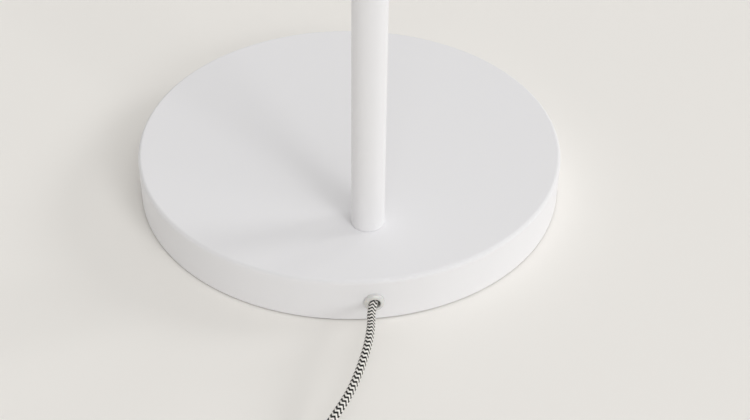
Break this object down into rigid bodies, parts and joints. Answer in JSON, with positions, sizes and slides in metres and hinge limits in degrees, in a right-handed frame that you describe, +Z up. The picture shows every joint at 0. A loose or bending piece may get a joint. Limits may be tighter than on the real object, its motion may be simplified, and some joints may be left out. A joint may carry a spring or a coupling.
{
  "type": "arc floor lamp",
  "caption": "White arc floor lamp: round weighted base, off-centre tube post, half-circle arc, tilting dome shade with switch, and a black and white braided cord.",
  "frame": {"origin": "centre of the round base, on the floor", "axes": "+Z up; -Y to the side of the post and the cord; the arc reaches towards +Y"},
  "size_m": [0.3, 1.0524, 1.669],
  "materials": {
    "white_powder_coat": "fine-textured white powder coat",
    "white_shade": "white powder coat on spun aluminium",
    "cast_ballast": "as cast",
    "felt": "pressed felt",
    "zinc_steel": "zinc plated",
    "white_gloss_plastic": "moulded, glossy",
    "white_matte_plastic": "moulded, satin",
    "grey_plastic": "moulded",
    "nylon": "natural nylon",
    "white_lead": "extruded sheath",
    "braid": "black and white zigzag textile braid",
    "tie_strap": "woven strap",
    "ceramic": "glazed ceramic",
    "brass": "bright",
    "nickel_steel": "nickel plated",
    "bulb_cap_metal": "bare",
    "black_glass": "fused black insulator",
    "opal_glass": "opal"
  },
  "bodies": {
    "stand": {"floor_pad": "felt", "ballast_disc": "cast_ballast", "base_cover": "white_powder_coat", "post_bolt": "zinc_steel", "bolt_washer": "zinc_steel", "post_plug": "zinc_steel", "cord_bushing": "white_gloss_plastic", "bushing_nut": "grey_plastic", "cord_clamp": "grey_plastic", "clamp_screws": "zinc_steel", "lower_post": "white_powder_coat", "upper_post": "white_powder_coat", "lower_joiner": "zinc_steel", "upper_joiner": "zinc_steel", "joiner_screws": "zinc_steel", "arc_tube": "white_powder_coat", "arc_end_plug": "white_powder_coat", "cord_entry": "braid", "inner_lead": "white_lead", "joint_lead": "white_lead", "knuckle_upper": "white_powder_coat", "friction_washer": "nylon", "pivot_screw": "zinc_steel", "spring_washer": "zinc_steel", "mains_cord": "braid", "cord_coil": "braid", "coil_tie": "tie_strap", "cord_tail": "braid", "plug_relief": "white_matte_plastic", "plug_body": "white_matte_plastic", "plug_pins": "nickel_steel", "pin_sleeves": "grey_plastic"},
    "shade_head": {"knuckle_lower": "white_powder_coat", "shade": "white_shade", "shade_nut": "zinc_steel", "holder_cap": "white_matte_plastic", "holder_body": "white_matte_plastic", "holder_core": "ceramic", "screw_shell": "nickel_steel", "centre_contact": "brass", "terminal_screws": "brass", "head_lead": "white_lead", "bulb_cap": "bulb_cap_metal", "bulb_insulator": "black_glass", "bulb_tip": "nickel_steel", "bulb_collar": "white_matte_plastic", "bulb_globe": "opal_glass", "switch_body": "grey_plastic", "switch_nut": "nickel_steel"},
    "tilt_knob": {"tilt_knob": "white_gloss_plastic"},
    "switch_knob": {"switch_shaft": "nickel_steel", "switch_knob": "white_gloss_plastic"}
  },
  "joints": [
    {"name": "shade_tilt", "type": "hinge", "parent": "stand", "child": "shade_head", "pos_m": [0, 0.509, 1.304], "axis": [1, 0, 0], "range_deg": [-60, 60], "deforming": ["joint_lead"]},
    {"name": "tilt_knob_turn", "type": "hinge", "parent": "stand", "child": "tilt_knob", "pos_m": [0, 0.509, 1.304], "axis": [1, 0, 0], "range_deg": [0, 360]},
    {"name": "switch_knob_turn", "type": "hinge", "parent": "shade_head", "child": "switch_knob", "pos_m": [-0.0305, 0.509, 1.29], "axis": [0, 0, -1], "range_deg": [0, 270]}
  ]
}
